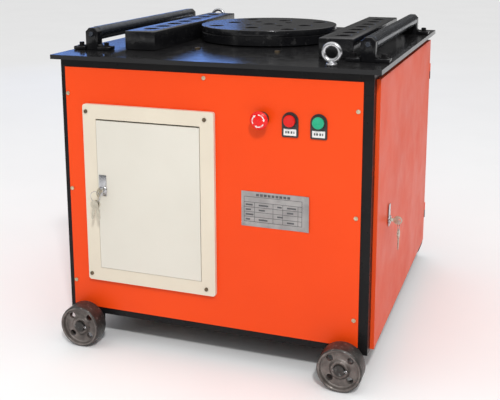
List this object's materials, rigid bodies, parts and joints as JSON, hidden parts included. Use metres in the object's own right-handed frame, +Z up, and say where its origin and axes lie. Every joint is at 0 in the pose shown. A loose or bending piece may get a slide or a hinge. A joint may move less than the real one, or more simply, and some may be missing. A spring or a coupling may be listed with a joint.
{
  "type": "rebar bender",
  "caption": "Steel table on a panelled frame with wheels; a motor-driven disc with pin holes, hole bars and rollers bends reinforcing bar.",
  "frame": {"origin": "on the floor under the middle of the machine", "axes": "+Z up; the control panel faces -Y; the machine's right-hand side, seen from the front, is +X"},
  "size_m": [0.8056, 0.871, 0.743],
  "materials": {
    "aluminium": "satin",
    "belt_rubber": "matt",
    "black_paint": "gloss",
    "black_plastic": "matt",
    "bright_zinc": "bright zinc",
    "bronze": "machined bronze",
    "cast_iron": "as cast",
    "cream_paint": "satin",
    "dark_steel": "dark oiled",
    "green_plastic": "gloss",
    "grey_paint": "matt",
    "machined_steel": "machined",
    "motor_paint": "semi-gloss",
    "orange_paint": "satin",
    "red_plastic": "gloss"
  },
  "bodies": {
    "machine": {"table_plate": "black_paint", "top_frame": "black_paint", "bottom_frame": "black_paint", "post_front_left": "black_paint", "post_front_right": "black_paint", "post_rear_left": "black_paint", "post_rear_right": "black_paint", "front_panel": "orange_paint", "rear_panel": "orange_paint", "control_box": "cream_paint", "mounting_plate": "bright_zinc", "contactor_forward": "black_plastic", "contactor_reverse": "black_plastic", "control_transformer": "grey_paint", "estop_body": "black_plastic", "stop_button_body": "black_plastic", "start_button_body": "black_plastic", "data_plate": "aluminium", "cable_gland": "black_plastic", "left_hole_bar": "dark_steel", "left_bracket_front": "black_paint", "left_bracket_rear": "black_paint", "right_hole_bar": "dark_steel", "right_bracket_front": "black_paint", "right_bracket_rear": "black_paint", "lifting_eye_front": "bright_zinc", "lifting_eye_rear": "bright_zinc", "main_bearing_lower": "machined_steel", "main_bearing_upper": "machined_steel", "worm_bearing_left": "machined_steel", "worm_bearing_right": "machined_steel", "gearbox_housing": "grey_paint", "gearbox_lid": "grey_paint", "drive_belt_outer": "belt_rubber", "drive_belt_inner": "belt_rubber", "motor_body": "motor_paint", "axle_left": "machined_steel", "axle_right": "machined_steel"},
    "disc": {"work_disc": "dark_steel", "main_shaft": "machined_steel", "worm_wheel": "bronze"},
    "worm": {"worm_shaft": "machined_steel", "driven_pulley": "cast_iron"},
    "rotor": {"motor_rotor": "machined_steel", "motor_pulley": "cast_iron"},
    "left_roller": {"left_roller": "dark_steel"},
    "right_roller": {"right_roller": "dark_steel"},
    "wheel_front_left": {"wheel_front_left": "cast_iron"},
    "wheel_front_right": {"wheel_front_right": "cast_iron"},
    "wheel_rear_left": {"wheel_rear_left": "cast_iron"},
    "wheel_rear_right": {"wheel_rear_right": "cast_iron"},
    "side_door_left": {"side_door_left": "orange_paint"},
    "side_door_right": {"side_door_right": "orange_paint"},
    "door_lock_left": {"door_lock_left": "bright_zinc"},
    "door_lock_right": {"door_lock_right": "bright_zinc"},
    "box_door": {"control_box_door": "cream_paint"},
    "box_lock": {"control_box_lock": "bright_zinc"},
    "estop_knob": {"estop_knob": "red_plastic"},
    "stop_cap": {"stop_button_cap": "red_plastic"},
    "start_cap": {"start_button_cap": "green_plastic"}
  },
  "joints": [
    {"name": "disc_spin", "type": "hinge", "parent": "machine", "child": "disc", "pos_m": [0, 0.0415, 0.71], "axis": [0, 0, 1], "continuous": true},
    {"name": "worm_spin", "type": "hinge", "parent": "machine", "child": "worm", "pos_m": [0, 0.1665, 0.525], "axis": [1, 0, 0], "continuous": true},
    {"name": "motor_spin", "type": "hinge", "parent": "machine", "child": "rotor", "pos_m": [0, 0.06, 0.1723], "axis": [1, 0, 0], "continuous": true},
    {"name": "left_roller_spin", "type": "hinge", "parent": "machine", "child": "left_roller", "pos_m": [-0.33, 0, 0.7265], "axis": [0, 1, 0], "continuous": true},
    {"name": "right_roller_spin", "type": "hinge", "parent": "machine", "child": "right_roller", "pos_m": [0.33, 0, 0.7265], "axis": [0, 1, 0], "continuous": true},
    {"name": "wheel_front_left_spin", "type": "hinge", "parent": "machine", "child": "wheel_front_left", "pos_m": [-0.313, -0.4145, 0.04957], "axis": [0, 1, 0], "continuous": true},
    {"name": "wheel_rear_left_spin", "type": "hinge", "parent": "machine", "child": "wheel_rear_left", "pos_m": [-0.313, 0.4145, 0.04957], "axis": [0, 1, 0], "continuous": true},
    {"name": "wheel_front_right_spin", "type": "hinge", "parent": "machine", "child": "wheel_front_right", "pos_m": [0.313, -0.4145, 0.04957], "axis": [0, 1, 0], "continuous": true},
    {"name": "wheel_rear_right_spin", "type": "hinge", "parent": "machine", "child": "wheel_rear_right", "pos_m": [0.313, 0.4145, 0.04957], "axis": [0, 1, 0], "continuous": true},
    {"name": "side_door_right_hinge", "type": "hinge", "parent": "machine", "child": "side_door_right", "pos_m": [0.3678, 0.378, 0.368], "axis": [0, 0, 1], "range_deg": [0, 110]},
    {"name": "side_door_left_hinge", "type": "hinge", "parent": "machine", "child": "side_door_left", "pos_m": [-0.3678, 0.378, 0.368], "axis": [0, 0, -1], "range_deg": [0, 110]},
    {"name": "door_lock_right_turn", "type": "hinge", "parent": "side_door_right", "child": "door_lock_right", "pos_m": [0.3678, -0.225, 0.325], "axis": [-1, 0, 0], "range_deg": [0, 90]},
    {"name": "door_lock_left_turn", "type": "hinge", "parent": "side_door_left", "child": "door_lock_left", "pos_m": [-0.3678, -0.225, 0.325], "axis": [-1, 0, 0], "range_deg": [0, 90]},
    {"name": "box_door_hinge", "type": "hinge", "parent": "machine", "child": "box_door", "pos_m": [-0.016, -0.3948, 0.366], "axis": [0, 0, 1], "range_deg": [0, 120]},
    {"name": "box_lock_turn", "type": "hinge", "parent": "box_door", "child": "box_lock", "pos_m": [-0.257, -0.3948, 0.3795], "axis": [0, 1, 0], "range_deg": [0, 90]},
    {"name": "estop_press", "type": "slide", "parent": "machine", "child": "estop_knob", "axis": [0, 1, 0], "range_m": [0, 0.004]},
    {"name": "stop_press", "type": "slide", "parent": "machine", "child": "stop_cap", "axis": [0, 1, 0], "range_m": [0, 0.004], "stiffness_N_per_m": 500, "springref_m": -0.002},
    {"name": "start_press", "type": "slide", "parent": "machine", "child": "start_cap", "axis": [0, 1, 0], "range_m": [0, 0.004], "stiffness_N_per_m": 500, "springref_m": -0.002}
  ],
  "couplings": [
    {"joint": "worm_spin", "follows": "disc_spin", "ratio": 50},
    {"joint": "motor_spin", "follows": "disc_spin", "ratio": 140}
  ]
}
